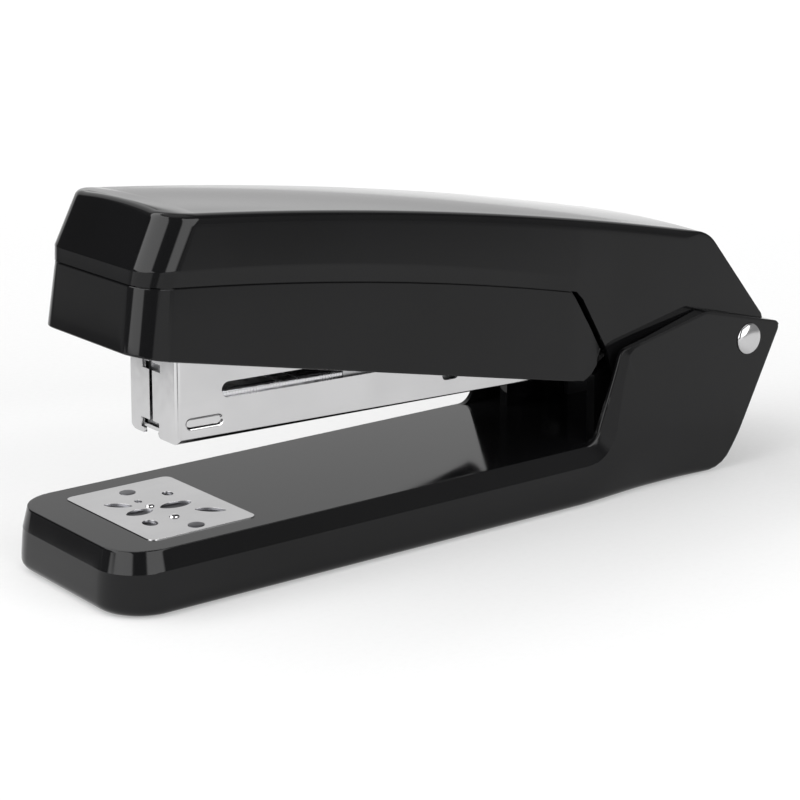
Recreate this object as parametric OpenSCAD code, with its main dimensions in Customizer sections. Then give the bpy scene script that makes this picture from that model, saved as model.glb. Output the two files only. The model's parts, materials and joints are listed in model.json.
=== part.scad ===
// Half-strip desktop stapler: base with hinge cheeks, sprung staple magazine and two-part handle.
// X runs from the nose (-X) to the hinge (+X), Y is the width, Z is up, millimetres.
// The modules measure X from the front of the base, and placed() moves them to the origin.

/* [Overall] */
// Distance from the front of the base to the back of the hinge cheeks
total_len = 136.3; // [136.3:0.1:136.3]
// Hinge pin centre, from the front of the base
pin_x = 129; // [129:0.1:129.2]
// Hinge pin centre, above the table
pin_z = 23.6; // [23.4:0.1:23.8]
// Hinge pin radius
pin_r = 2; // [1.8:0.1:2.1]

/* [Base] */
// Height of the base's top face
base_top = 10.4; // [10.2:0.1:10.4]
// Half width of the base where it is widest
base_half_w = 18.3; // [18.2:0.1:18.6]
// Plan radius of the base's front corners
base_corner_r = 8; // [6:0.5:9]
// Thickness of the base's top wall
base_wall = 2; // [1.8:0.1:2.4]
// Inner face of each hinge cheek, from the middle
cheek_inner_y = 16.1; // [16:0.05:16.2]
// Length of the anvil plate
anvil_len = 19.2; // [18:0.1:19.4]
// Width of the anvil plate
anvil_w = 26.6; // [25:0.1:27]
// Thickness of the anvil plate
anvil_t = 0.8; // [0.6:0.1:0.8]

/* [Head] */
// Half width of the top cover and the lower housing
head_half_w = 15.5; // [15.4:0.05:15.55]
// Plan radius of the head's front corners
head_corner_r = 5.6; // [5:0.1:6]
// Wall thickness of the top cover and the lower housing
shell_t = 2; // [1.8:0.1:2]
// Angle that the handle turns past the magazine to drive a staple
stroke_deg = 4.4; // [4.4:0.1:4.4]

/* [Magazine] */
// Outer width of the staple magazine
mag_w = 14.4; // [14.4:0.1:14.6]
// Distance from the hinge pin to the magazine's front face
mag_len = 112; // [112:0.1:112]
// Nose-up tilt of the magazine at rest
mag_tilt = 1.5; // [1.3:0.1:1.6]
// Sheet thickness of the magazine
mag_t = 0.6; // [0.5:0.05:0.6]
// Length of the staple strip that is loaded
strip_len = 30; // [20:1:30]

/* [Hidden] */
$fn = 64;
eps = 0.01;
big = 200;
fit_gap = 0.06;
run_gap = 0.1;

black_plastic = [0.06, 0.06, 0.065];
rubber_black = [0.1, 0.1, 0.1];
nickel = [0.78, 0.78, 0.8];
steel = [0.55, 0.56, 0.58];
zinc = [0.66, 0.66, 0.68];

// Base
base_bottom = 0.4;
base_widest_z = 7;
base_draft = 1.05;
chamfer_y = 0.7;
cheek_outer_y = base_half_w;
web_inner_y = 10.9;
web_outer_y = 12.9;
web_front_x = 97.5;
web_rear_x = 119;
ear_r = 4.3;
ear_heel_deg = -130;
cavity_top = base_top - base_wall;
cavity_half_w = 14.4;
cavity_rear_x = 118.4;
pad_rear_x = 115;
pad_z = 1.8;
pad_half_w = 15.3;
anvil_front_x = 7.8;
anvil_recess = 0.5;
anvil_mid_x = anvil_front_x + anvil_len / 2;
anvil_top = base_top - anvil_recess + anvil_t;
anvil_rivet_y = 0.39 * anvil_w;
anvil_rivet_r = 1.1;
column_r = 3.6;
screw_places = [[34, 7], [34, -7], [88, 7], [88, -7]];
base_screw_r = 1.3;
pin_head_r = 2.75;
pin_head_h = 1.2;
stiffener_z = 3.9;
stiffener_t = 1;
stiffener_ear_y = 9.7;
ear_foot_x = [111, 118];
spring_x = 112;
spring_coil_r = 3.2;
spring_wire_r = 0.4;

// Head outline: each long edge is a + b x + c x^2, x from the front of the base
function top_z(x) = 61.0 - 0.0659 * x - 0.000653 * x * x;
function parting_z(x) = 50.2 - 0.0603 * x - 0.000902 * x * x;
function skirt_z(x) = 40.5 - 0.209 * x;
cover_front_low = [7.5, 49.7];
cover_front_belt = [7.84, 52.3];
cover_front_top = [12, 60.1];
housing_front_low = [5.8, 39.3];
housing_front_high = [7.4, 49.4];
front_lean = atan2(cover_front_top[0] - cover_front_belt[0], cover_front_top[1] - cover_front_belt[1]);
rear_slope_end = [135.4, 27.3];
tail_r = 6.9;
tail_inner_r = 4.75;
parting_end_x = 90.6;
edge_steps = 12;

// Magazine, measured from the hinge pin in the magazine's own level frame
mag_bottom = -4.3;
mag_front_top = 9.7;
mag_mid_top = 6.3;
mag_inner_y = mag_w / 2 - mag_t;
mag_floor = mag_bottom + mag_t;
rail_y = 5.75;
rail_top = 2.3;
rail_t = 0.6;
rail_front_x = -109.5;
rail_rear_x = -42;
rod_z = -0.5;
rod_r = 0.8;
strip_front_x = -110.2;
strip_rear_x = strip_front_x + strip_len;
wire_t = 0.55;
pusher_len = 10;
pusher_front_x = strip_rear_x + 0.1;
pusher_rear_x = pusher_front_x + pusher_len;
stop_x = -41;
slot_z = [2.1, 4.1];
rail_rivet_x = [-96, -50];
rail_rivet_r = 1.2;

// Handle frame, measured from the hinge pin in the frame it has when a staple is driven
frame_y = 8.6;
frame_t = 0.9;
web_top = 15;
frame_nose_x = -107.5;
blade_x = -110.45;
blade_t = 0.6;
blade_half_w = 6.3;
blade_tip_z = -4.2;
driver_rivet_x = -104;
leaf_rivet_x = -76;
cover_screw_x = [-92, -44];
housing_screw_x = [17, 80];
housing_screw_y = 11.1;
housing_screw_r = 1.1;
housing_post_r = 2.1;
cover_screw_r = 1.3;
post_h = 20;
lug_h = 3;
rivet_r = 1.1;
rivet_head_r = 1.8;
driver_rivet_y = 3.5;

// Helpers ---------------------------------------------------------------

module placed() {
    translate([-total_len / 2, 0, 0]) children();
}

// The magazine's level frame, at rest
module on_magazine() {
    placed() translate([pin_x, 0, pin_z]) rotate([0, mag_tilt, 0]) children();
}

// The handle's frame, at rest
module on_handle() {
    placed() translate([pin_x, 0, pin_z]) rotate([0, mag_tilt + stroke_deg, 0]) children();
}

// Extrudes an X-Z outline over a span of Y
module across(y0, y1) {
    translate([0, y1, 0]) rotate([90, 0, 0]) linear_extrude(y1 - y0) children();
}

// The same outline at both sides of the middle
module both_sides(y0, y1) {
    across(y0, y1) children();
    across(-y1, -y0) children();
}

// A rod along Y
module cross_rod(x, z, r, y0, y1) {
    translate([x, y0, z]) rotate([-90, 0, 0]) cylinder(h = y1 - y0, r = r);
}

// A rounded plan outline that is square at its rear
module plan_outline(x0, x1, half_w, r, z0, z1) {
    translate([0, 0, z0]) linear_extrude(z1 - z0) union() {
        translate([x0 + r, -half_w]) square([x1 - x0 - r, 2 * half_w]);
        translate([x0, -half_w + r]) square([r + eps, 2 * (half_w - r)]);
        for (side = [-1, 1]) translate([x0 + r, side * (half_w - r)]) circle(r = r);
    }
}

function arc(cx, cz, r, a0, a1, n) = [
    for (i = [0:n]) let (a = a0 + (a1 - a0) * i / n) [cx + r * cos(a), cz + r * sin(a)]
];

// A coil spring of round wire that stands on Z = 0
module coil(coil_r, wire_r, height, turns) {
    sides = 5;
    per_turn = 10;
    rings = turns * per_turn;
    rise = height - 2 * wire_r;
    points = [
        for (i = [0:rings]) let (t = 360 * i / per_turn, z = wire_r + rise * i / rings)
            for (j = [0:sides - 1]) let (a = 360 * j / sides, r = coil_r + wire_r * cos(a))
                [r * cos(t), r * sin(t), z + wire_r * sin(a)]
    ];
    walls = [
        for (i = [0:rings - 1]) for (j = [0:sides - 1]) let (k = (j + 1) % sides)
            [i * sides + j, (i + 1) * sides + j, (i + 1) * sides + k, i * sides + k]
    ];
    first_cap = [for (j = [0:sides - 1]) j];
    last_cap = [for (j = [sides - 1:-1:0]) rings * sides + j];
    polyhedron(points = points, faces = concat(walls, [first_cap, last_cap]), convexity = 8);
}

// A pan-head screw with a cross recess, its head's seat at Z = 0 and its shank upwards
module screw(head_r, head_h, shank_r, shank_len) {
    slot_w = head_r / 3;
    slot_l = head_r * 1.3;
    difference() {
        translate([0, 0, -head_h]) cylinder(h = head_h, r = head_r);
        for (turn = [0, 90]) rotate([0, 0, turn])
            translate([-slot_l / 2, -slot_w / 2, -head_h - eps]) cube([slot_l, slot_w, head_h / 2]);
    }
    cylinder(h = shank_len, r = shank_r);
}

// A low dome on a plate's face at Z = 0, bulging upwards
module dome(r, h) {
    ball_r = (r * r + h * h) / (2 * h);
    intersection() {
        translate([0, 0, h - ball_r]) sphere(r = ball_r);
        cylinder(h = h + 1, r = r + 1);
    }
}

// Base ------------------------------------------------------------------

// Side view of the base and its cheeks, clockwise from the front's bottom
module base_side() {
    polygon(concat(
        [[1.1, base_bottom], [0, base_widest_z], [chamfer_y, base_top], [90.4, base_top]],
        arc(90.4, base_top + 3.2, 3.2, -90, -16, 6),
        arc(99.6, 24, 2, 165, 102, 4),
        arc(118.4, 26.9, 3, 102, 77, 3),
        arc(134.9, 24.6, 1.4, 77, -28, 5),
        arc(118.4, 8.4, 8, -28, -90, 8)
    ));
}

// Front view of the lower base, with its draft and its top chamfer
module base_front_view() {
    low_y = base_half_w - base_draft;
    high_y = base_half_w - chamfer_y;
    polygon([
        [-low_y, base_bottom], [low_y, base_bottom], [base_half_w, base_widest_z],
        [high_y, base_top], [-high_y, base_top], [-base_half_w, base_widest_z]
    ]);
}

// An ear that carries the pin: a round end on a foot. Its rear edge slants forward, clear of the cover's tail
module ear_side(front_x, shoulder_z, rear_foot_x, foot_z, r) {
    heel = [pin_x + r * cos(ear_heel_deg), pin_z + r * sin(ear_heel_deg)];
    translate([pin_x, pin_z]) circle(r = r);
    polygon([
        [front_x, foot_z], [front_x, shoulder_z], [front_x + 6, shoulder_z + 3.6],
        [pin_x, pin_z + r], [pin_x, pin_z], heel, [rear_foot_x, foot_z]
    ]);
}

module base_body() {
    intersection() {
        across(-base_half_w, base_half_w) base_side();
        plan_outline(0, total_len, base_half_w, base_corner_r, 0, big);
        translate([-1, 0, 0]) rotate([90, 0, 90]) linear_extrude(total_len + 2) base_front_view();
    }
    intersection() {
        both_sides(cheek_inner_y, cheek_outer_y) base_side();
        translate([88, -big / 2, base_widest_z]) cube([big, big, big]);
    }
    both_sides(web_inner_y, web_outer_y) ear_side(web_front_x, 21, web_rear_x, cavity_top, ear_r);
}

module base_hollow() {
    front = 3.4;
    corner = base_corner_r - 3;
    plan_outline(front, cavity_rear_x, cavity_half_w, corner, base_bottom - 1, cavity_top);
    plan_outline(front - 0.9, pad_rear_x + 0.3, pad_half_w + 0.2, corner + 0.9, base_bottom - 1, pad_z);
}

module base_columns() {
    column_bottom = stiffener_z + stiffener_t;
    for (side = [-1, 1]) translate([anvil_mid_x, side * anvil_rivet_y, column_bottom])
        cylinder(h = cavity_top - column_bottom + eps, r = column_r);
    for (place = screw_places) translate([place[0], place[1], column_bottom])
        cylinder(h = cavity_top - column_bottom + eps, r = 2.8);
}

module anvil_plan(gap, z0, z1) {
    corner = 1.2 + gap;
    x0 = anvil_front_x - gap;
    length = anvil_len + 2 * gap;
    half_w = anvil_w / 2 + gap;
    translate([0, 0, z0]) linear_extrude(z1 - z0) union() {
        translate([x0 + corner, -half_w]) square([length - 2 * corner, 2 * half_w]);
        translate([x0, -half_w + corner]) square([length, 2 * (half_w - corner)]);
        for (x = [x0 + corner, x0 + length - corner], side = [-1, 1])
            translate([x, side * (half_w - corner)]) circle(r = corner);
    }
}

module base_shell() color(black_plastic) placed() difference() {
    union() {
        difference() {
            base_body();
            base_hollow();
        }
        base_columns();
        translate([spring_x, 0, base_top - eps]) cylinder(h = 3, r = 2.4);
    }
    cross_rod(pin_x, pin_z, pin_r, -base_half_w - 1, base_half_w + 1);
    anvil_plan(0.15, base_top - anvil_recess, base_top + 1);
    for (side = [-1, 1]) {
        translate([anvil_mid_x, side * anvil_rivet_y, 0]) cylinder(h = base_top + 1, r = anvil_rivet_r);
        // Slot that the stiffener's ear comes up through
        translate([ear_foot_x[0] - 0.2, side * (stiffener_ear_y + 0.5) - 0.7, 0])
            cube([ear_foot_x[1] - ear_foot_x[0] + 0.4, 1.4, base_top + 1]);
    }
    for (place = screw_places)
        translate([place[0], place[1], 0]) cylinder(h = cavity_top + 1, r = base_screw_r);
}

module sole_pad() color(rubber_black) placed() difference() {
    plan_outline(2.8, pad_rear_x, pad_half_w, base_corner_r - 2.4, 0, pad_z);
    // Grip grooves across the underside
    for (x = [12:9:111]) translate([x, -pad_half_w + 3, -eps]) cube([1.2, 2 * pad_half_w - 6, 0.5]);
}

// Each ear has a narrow foot that passes through the base's top wall and widens above it
module stiffener_ear() {
    foot_w = ear_foot_x[1] - ear_foot_x[0];
    ear_side(ear_foot_x[0], 19, ear_foot_x[1], base_top + 0.3, ear_r - 0.1);
    translate([ear_foot_x[0], stiffener_z]) square([foot_w, base_top - stiffener_z + 1]);
}

module base_stiffener() color(steel) placed() difference() {
    outer_y = stiffener_ear_y + stiffener_t;
    union() {
        plan_outline(7, ear_foot_x[1], outer_y, 2, stiffener_z, stiffener_z + stiffener_t);
        both_sides(stiffener_ear_y, outer_y) stiffener_ear();
    }
    cross_rod(pin_x, pin_z, pin_r, -base_half_w, base_half_w);
    for (side = [-1, 1]) translate([anvil_mid_x, side * anvil_rivet_y, 0])
        cylinder(h = base_top, r = anvil_rivet_r);
    for (place = screw_places) translate([place[0], place[1], 0]) cylinder(h = base_top, r = base_screw_r);
}

module base_screws() color(zinc) placed()
    for (place = screw_places)
        translate([place[0], place[1], stiffener_z]) screw(2.6, 1.5, base_screw_r, 4.4);

// One crimping groove: an elongated dip with round ends, cut by a ring that lies on edge
module crimp_groove(x, y, turn) {
    ring_r = 2.6;
    tube_r = 0.8;
    depth = 0.45;
    translate([anvil_mid_x + x, y, anvil_top + ring_r + tube_r - depth]) rotate([90, 0, turn])
        rotate_extrude() translate([ring_r, 0]) circle(r = tube_r, $fn = 32);
}

module anvil_plate() color(nickel) placed() difference() {
    anvil_plan(0, base_top - anvil_recess, anvil_top);
    for (side = [-1, 1]) translate([anvil_mid_x, side * anvil_rivet_y, 0])
        cylinder(h = big, r = anvil_rivet_r);
    for (sx = [-1, 1], sy = [-1, 1]) crimp_groove(0.8 + sx * 5.4, sy * 5.4, sx * sy * 45);
    for (s = [-1, 1]) crimp_groove(0.8 + s * 3.3, 0, 0);
    for (s = [-1, 1]) crimp_groove(0.8, s * 3.9, 90);
}

module anvil_rivets() color(steel) placed() for (side = [-1, 1]) {
    head_r = 1.7;
    head_h = 0.35;
    translate([anvil_mid_x, side * anvil_rivet_y, stiffener_z]) {
        cylinder(h = anvil_top - stiffener_z, r = anvil_rivet_r);
        translate([0, 0, anvil_top - stiffener_z]) dome(head_r, head_h);
        rotate([180, 0, 0]) dome(head_r, head_h);
    }
}

module hinge_pin() color(nickel) placed() {
    cross_rod(pin_x, pin_z, pin_r, -cheek_outer_y, cheek_outer_y);
    translate([pin_x, -cheek_outer_y, pin_z]) rotate([90, 0, 0]) dome(pin_head_r, pin_head_h);
}

module hinge_pin_cap() color(nickel) placed()
    translate([pin_x, cheek_outer_y, pin_z]) rotate([-90, 0, 0]) dome(pin_head_r, pin_head_h);

module pivot_washers() color(zinc) placed() difference() {
    for (y0 = [8.9, -9.5]) cross_rod(pin_x, pin_z, 3.8, y0, y0 + 0.6);
    cross_rod(pin_x, pin_z, pin_r, -base_half_w, base_half_w);
}

// Height of the magazine's underside above the base's spring post
spring_height = pin_z + mag_bottom + (pin_x - spring_x) * sin(mag_tilt) - base_top;

module return_spring() color(steel) placed() translate([spring_x, 0, base_top])
    coil(spring_coil_r, spring_wire_r, spring_height - 0.15, 5);

// Magazine --------------------------------------------------------------

module magazine_side() {
    polygon(concat(
        [[-mag_len, mag_bottom], [-mag_len, mag_front_top], [-98, mag_front_top], [-93, mag_mid_top]],
        [[-20, mag_mid_top], [-8, ear_r]],
        arc(0, 0, ear_r, 90, -90, 12),
        [[-4, mag_bottom]]
    ));
}

// An upright slot end for the side walls' long window
module window_side() {
    x0 = -103.3;
    x1 = -52;
    mid = (slot_z[0] + slot_z[1]) / 2;
    r = (slot_z[1] - slot_z[0]) / 2;
    translate([x0 + r, slot_z[0]]) square([x1 - x0 - 2 * r, 2 * r]);
    translate([x0 + r, mid]) circle(r = r);
    translate([x1 - r, mid]) circle(r = r);
}

// A cut through the magazine's front face
module front_cut(half_w, z0, z1) {
    translate([-mag_len - 1, -half_w, z0]) cube([2, 2 * half_w, z1 - z0]);
}

module magazine_channel() color(nickel) on_magazine() difference() {
    across(-mag_w / 2, mag_w / 2) magazine_side();
    // Trough for the rail and the staples, open at the top
    translate([-mag_len + mag_t, -mag_inner_y, mag_floor]) cube([mag_len, 2 * mag_inner_y, 20]);
    // The floor stops short of the hinge, where only the two ears are left
    translate([-11, -mag_inner_y, -10]) cube([40, 2 * mag_inner_y, 30]);
    // Mouth that the staple leaves by
    translate([-mag_len + mag_t, -mag_inner_y, -10]) cube([1.4, 2 * mag_inner_y, 10]);
    // Seam where the two front flanges meet, with its cross notches
    front_cut(0.35, -10, 20);
    front_cut(2.6, 8.2, 9.2);
    front_cut(2.6, mag_bottom + 1.2, mag_bottom + 2.6);
    front_cut(2.1, -10, mag_bottom + 0.4);
    across(-mag_w, mag_w) window_side();
    cross_rod(0, 0, pin_r + fit_gap, -mag_w, mag_w);
    for (x = rail_rivet_x) translate([x, 0, -10]) cylinder(h = 12, r = rail_rivet_r);
}

module staple_rail() color(steel) on_magazine() difference() {
    translate([rail_front_x, -rail_y, mag_floor])
        cube([rail_rear_x - rail_front_x, 2 * rail_y, rail_top - mag_floor]);
    translate([rail_front_x + 1, -rail_y + rail_t, mag_floor + rail_t])
        cube([big, 2 * (rail_y - rail_t), 20]);
    translate([rail_front_x - 1, 0, rod_z]) rotate([0, 90, 0]) cylinder(h = 4, r = rod_r);
    for (x = rail_rivet_x) translate([x, 0, -10]) cylinder(h = 12, r = rail_rivet_r);
}

module rail_rivets() color(steel) on_magazine() for (x = rail_rivet_x) translate([x, 0, mag_bottom]) {
    cylinder(h = mag_t + rail_t, r = rail_rivet_r);
    translate([0, 0, mag_t + rail_t]) dome(1.9, 0.4);
}

module rear_stop() color(steel) on_magazine() difference() {
    translate([stop_x - 5, -mag_inner_y, mag_floor]) cube([6, 2 * mag_inner_y, 4.6 - mag_floor]);
    translate([stop_x - 6, -5.9, mag_floor - 1]) cube([6, 11.8, 3.7 - mag_floor + 1]);
    translate([stop_x - 6, 0, rod_z]) rotate([0, 90, 0]) cylinder(h = 10, r = rod_r);
}

module guide_rod() color(steel) on_magazine() {
    rod_front_x = rail_front_x;
    rod_rear_x = stop_x + 1.8;
    translate([rod_front_x, 0, rod_z]) rotate([0, 90, 0]) cylinder(h = rod_rear_x - rod_front_x, r = rod_r);
    translate([rod_rear_x, 0, rod_z]) rotate([0, 90, 0]) cylinder(h = 0.8, r = 1.5);
}

module staple_strip() color(nickel) on_magazine() difference() {
    crown_top = rail_top + wire_t;
    leg_len = 6;
    half_w = 6.45;
    translate([strip_front_x, -half_w, crown_top - leg_len]) cube([strip_len, 2 * half_w, leg_len]);
    translate([strip_front_x - 1, -half_w + wire_t, crown_top - leg_len - 1])
        cube([strip_len + 2, 2 * (half_w - wire_t), leg_len + 1 - wire_t]);
}

module pusher_spring() color(steel) on_magazine() translate([pusher_rear_x + 0.1, 0, rod_z])
    rotate([0, 90, 0]) coil(1.9, 0.25, stop_x - pusher_rear_x - 0.2, 18);

module pusher() color(steel) on_magazine() difference() {
    outer_y = 6.4;
    top = 3.3;
    low = -3.2;
    wall = 0.55;
    translate([pusher_front_x, -outer_y, low]) cube([pusher_len, 2 * outer_y, top - low]);
    // Grooves that the rail's two walls run in
    groove_y = rail_y - rail_t / 2;
    for (side = [-1, 1])
        translate([pusher_front_x - 1, side * groove_y - rail_t / 2 - run_gap, low - 1])
            cube([pusher_len + 2, rail_t + 2 * run_gap, rail_top + run_gap - low + 1]);
    // Room for the rail's floor
    translate([pusher_front_x - 1, -rail_y + wall, low - 1])
        cube([pusher_len + 2, 2 * (rail_y - wall), mag_floor + rail_t + 0.2 - low + 1]);
    translate([pusher_front_x - 1, 0, rod_z]) rotate([0, 90, 0])
        cylinder(h = pusher_len + 2, r = rod_r + fit_gap);
}

// Handle ----------------------------------------------------------------

// The cover's outside in side view, with its tail that hides the hinge
module cover_side() {
    polygon(concat(
        [cover_front_low, cover_front_belt],
        arc(13.5, 58.4, 1.5, 150, 96, 3),
        [for (i = [1:edge_steps]) let (x = 14 + (114 - 14) * i / edge_steps) [x, top_z(x)]],
        arc(112.4, 31.0, 14.0, 76, 40.3, 5),
        [rear_slope_end],
        arc(pin_x, pin_z, tail_r, 15, -100, 10),
        [[99.6, 21], [97.6, 26.6], [92.6, 35.6]],
        [for (i = [edge_steps:-1:0]) let (x = 8 + (parting_end_x - 8) * i / edge_steps) [x, parting_z(x)]]
    ));
}

// The cover's inside in side view, open at the bottom
module cover_inside() {
    t = shell_t;
    polygon(concat(
        [[9.7, 0], [9.7, 51.5], [14.2, 58.2]],
        [for (i = [1:edge_steps]) let (x = 15 + (112 - 15) * i / edge_steps) [x, top_z(x) - t]],
        arc(112.4, 31.0, 14.0 - t, 76, 40.3, 5),
        [[133.2, pin_z + 3.2]],
        arc(pin_x, pin_z, tail_inner_r, 20, -32, 5),
        [[pin_x + tail_inner_r * cos(32), 0]]
    ));
}

module housing_side() {
    seam = 0.15;
    polygon(concat(
        [housing_front_high, housing_front_low],
        [[88.6, skirt_z(88.6)], [92.3, 21.2], [94.2, 22.3], [95.3, 26.6], [90.9, 35.4]],
        [for (i = [edge_steps:-1:0]) let (x = 8 + (88.6 - 8) * i / edge_steps) [x, parting_z(x) - seam]]
    ));
}

module top_cover() color(black_plastic) placed() {
    inner_y = head_half_w - shell_t;
    difference() {
        intersection() {
            across(-head_half_w, head_half_w) cover_side();
            plan_outline(cover_front_low[0] - 0.1, total_len, head_half_w, head_corner_r, 0, big);
            translate([cover_front_belt[0], 0, cover_front_belt[1]]) rotate([0, front_lean, 0])
                plan_outline(0, total_len, head_half_w, head_corner_r, -big, big);
        }
        intersection() {
            across(-inner_y, inner_y) cover_inside();
            plan_outline(9.6, total_len, inner_y, head_corner_r - shell_t, -1, big);
        }
        cross_rod(pin_x, pin_z, pin_r + fit_gap, -big / 2, big / 2);
    }
    cover_bosses();
}

// Posts inside the cover that take the frame's and the housing's screws
module cover_bosses() difference() {
    intersection() {
        union() {
            for (x = housing_screw_x, side = [-1, 1]) translate([x, side * housing_screw_y, parting_z(x) + 0.1])
                cylinder(h = post_h, r = housing_post_r);
            // Rib that joins each post to the side wall
            for (x = housing_screw_x, side = [-1, 1])
                translate([x - 0.6, side * 12.5 - 1.2, parting_z(x) + 0.1]) cube([1.2, 2.4, post_h]);
            translate([pin_x, 0, pin_z]) rotate([0, mag_tilt + stroke_deg, 0])
                for (x = cover_screw_x) translate([x, 0, web_top]) cylinder(h = post_h, r = 2.8);
        }
        across(-head_half_w + 0.5, head_half_w - 0.5) cover_side();
        across(-head_half_w, head_half_w) polygon(concat(
            [[0, 0], [0, 58]],
            [for (i = [0:edge_steps]) let (x = 12 + 100 * i / edge_steps) [x, top_z(x) - shell_t + 0.5]],
            [[112, 0]]
        ));
    }
    for (x = housing_screw_x, side = [-1, 1])
        translate([x, side * housing_screw_y, 0]) cylinder(h = parting_z(x) + 5, r = housing_screw_r);
    translate([pin_x, 0, pin_z]) rotate([0, mag_tilt + stroke_deg, 0])
        for (x = cover_screw_x) translate([x, 0, 0]) cylinder(h = web_top + 3.6, r = cover_screw_r);
}

module lower_housing() color(black_plastic) placed() {
    inner_y = head_half_w - shell_t;
    lean = atan2(housing_front_high[0] - housing_front_low[0], housing_front_high[1] - housing_front_low[1]);
    difference() {
        intersection() {
            across(-head_half_w, head_half_w) housing_side();
            translate([housing_front_low[0], 0, housing_front_low[1]]) rotate([0, lean, 0])
                plan_outline(0, total_len, head_half_w, head_corner_r, -big, big);
        }
        plan_outline(9.6, total_len, inner_y, head_corner_r - shell_t, 0, big);
    }
    // Lugs that the housing's screws pull up against the cover
    difference() {
        for (x = housing_screw_x, side = [-1, 1])
            translate([x, side * housing_screw_y, parting_z(x) - lug_h]) {
                cylinder(h = lug_h, r = housing_post_r);
                translate([-housing_post_r, side > 0 ? 0 : -2.6, 0]) cube([2 * housing_post_r, 2.6, lug_h]);
            }
        for (x = housing_screw_x, side = [-1, 1])
            translate([x, side * housing_screw_y, 0]) cylinder(h = big, r = housing_screw_r);
    }
}

module frame_side() {
    difference() {
        union() {
            circle(r = 4.2);
            polygon([
                [frame_nose_x, web_top], [-22, web_top], [0, 4.2], [0, -4.2], [-24, -2.5], [-60, 2],
                [frame_nose_x, 6]
            ]);
        }
        // Lightening hole
        translate([-40, 6]) circle(r = 2.5);
        translate([-56, 8]) circle(r = 2.5);
    }
}

module handle_frame() color(steel) on_handle() difference() {
    union() {
        both_sides(frame_y - frame_t, frame_y) frame_side();
        translate([frame_nose_x, -frame_y, web_top - frame_t]) cube([-22 - frame_nose_x, 2 * frame_y, frame_t]);
    }
    cross_rod(0, 0, pin_r + fit_gap, -frame_y - 1, frame_y + 1);
    for (side = [-1, 1]) translate([driver_rivet_x, side * driver_rivet_y, 0]) cylinder(h = big, r = rivet_r);
    for (x = cover_screw_x) translate([x, 0, 0]) cylinder(h = big, r = cover_screw_r);
    translate([leaf_rivet_x, 0, 0]) cylinder(h = big, r = rivet_r);
}

module driver_blade() color(steel) on_handle() difference() {
    union() {
        translate([blade_x - blade_t, -blade_half_w, blade_tip_z])
            cube([blade_t, 2 * blade_half_w, web_top + blade_t - blade_tip_z]);
        translate([blade_x - blade_t, -blade_half_w, web_top]) cube([10.5, 2 * blade_half_w, blade_t]);
    }
    for (side = [-1, 1]) translate([driver_rivet_x, side * driver_rivet_y, 0]) cylinder(h = big, r = rivet_r);
}

// A rivet through sheet of thickness t that lies on Z = 0, with a head at each end
module rivet(t) {
    head_h = 0.5;
    cylinder(h = t, r = rivet_r);
    translate([0, 0, t]) dome(rivet_head_r, head_h);
    rotate([180, 0, 0]) dome(rivet_head_r, head_h);
}

module driver_rivets() color(zinc) on_handle() for (side = [-1, 1])
    translate([driver_rivet_x, side * driver_rivet_y, web_top - frame_t]) rivet(frame_t + blade_t);

// Leaf spring under the frame's web: a flat foot and a blade that curves down to the rear stop
module leaf_side() {
    t = 0.6;
    top = web_top - frame_t;
    bend_x = -72;
    bend_r = 40;
    bend_deg = 44.5;
    polygon(concat(
        [[-80, top], [-80, top - t], [bend_x, top - t]],
        arc(bend_x, top - t - bend_r, bend_r, 90, 90 - bend_deg, 12),
        arc(bend_x, top - t - bend_r, bend_r + t, 90 - bend_deg, 90, 12)
    ));
}

module handle_spring() color(steel) on_handle() difference() {
    across(-4.5, 4.5) leaf_side();
    translate([leaf_rivet_x, 0, 0]) cylinder(h = big, r = rivet_r);
}

module handle_spring_rivet() color(zinc) on_handle() translate([leaf_rivet_x, 0, web_top - frame_t - 0.6])
    rivet(frame_t + 0.6);

module cover_screws() color(zinc) on_handle()
    for (x = cover_screw_x) translate([x, 0, web_top - frame_t]) screw(2.5, 1.5, cover_screw_r, 4.2);

module housing_screws() color(zinc) placed()
    for (x = housing_screw_x, side = [-1, 1])
        translate([x, side * housing_screw_y, parting_z(x) - lug_h])
            screw(1.9, 1.2, housing_screw_r, 7);

base_shell();
sole_pad();
base_stiffener();
base_screws();
anvil_plate();
anvil_rivets();
hinge_pin();
hinge_pin_cap();
pivot_washers();
return_spring();
magazine_channel();
staple_rail();
rail_rivets();
rear_stop();
guide_rod();
staple_strip();
pusher_spring();
pusher();
top_cover();
lower_housing();
handle_frame();
driver_blade();
driver_rivets();
handle_spring();
handle_spring_rivet();
cover_screws();
housing_screws();
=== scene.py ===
"""The looks of a half-strip desktop stapler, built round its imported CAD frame.

Shapes are given in millimetres: x from the front of the base, y across, z up. Those of the magazine are
given in its own level frame, from the middle of the hinge pin.
"""

import json
import math

import bmesh
import bpy
from mathutils import Matrix, Vector


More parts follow.
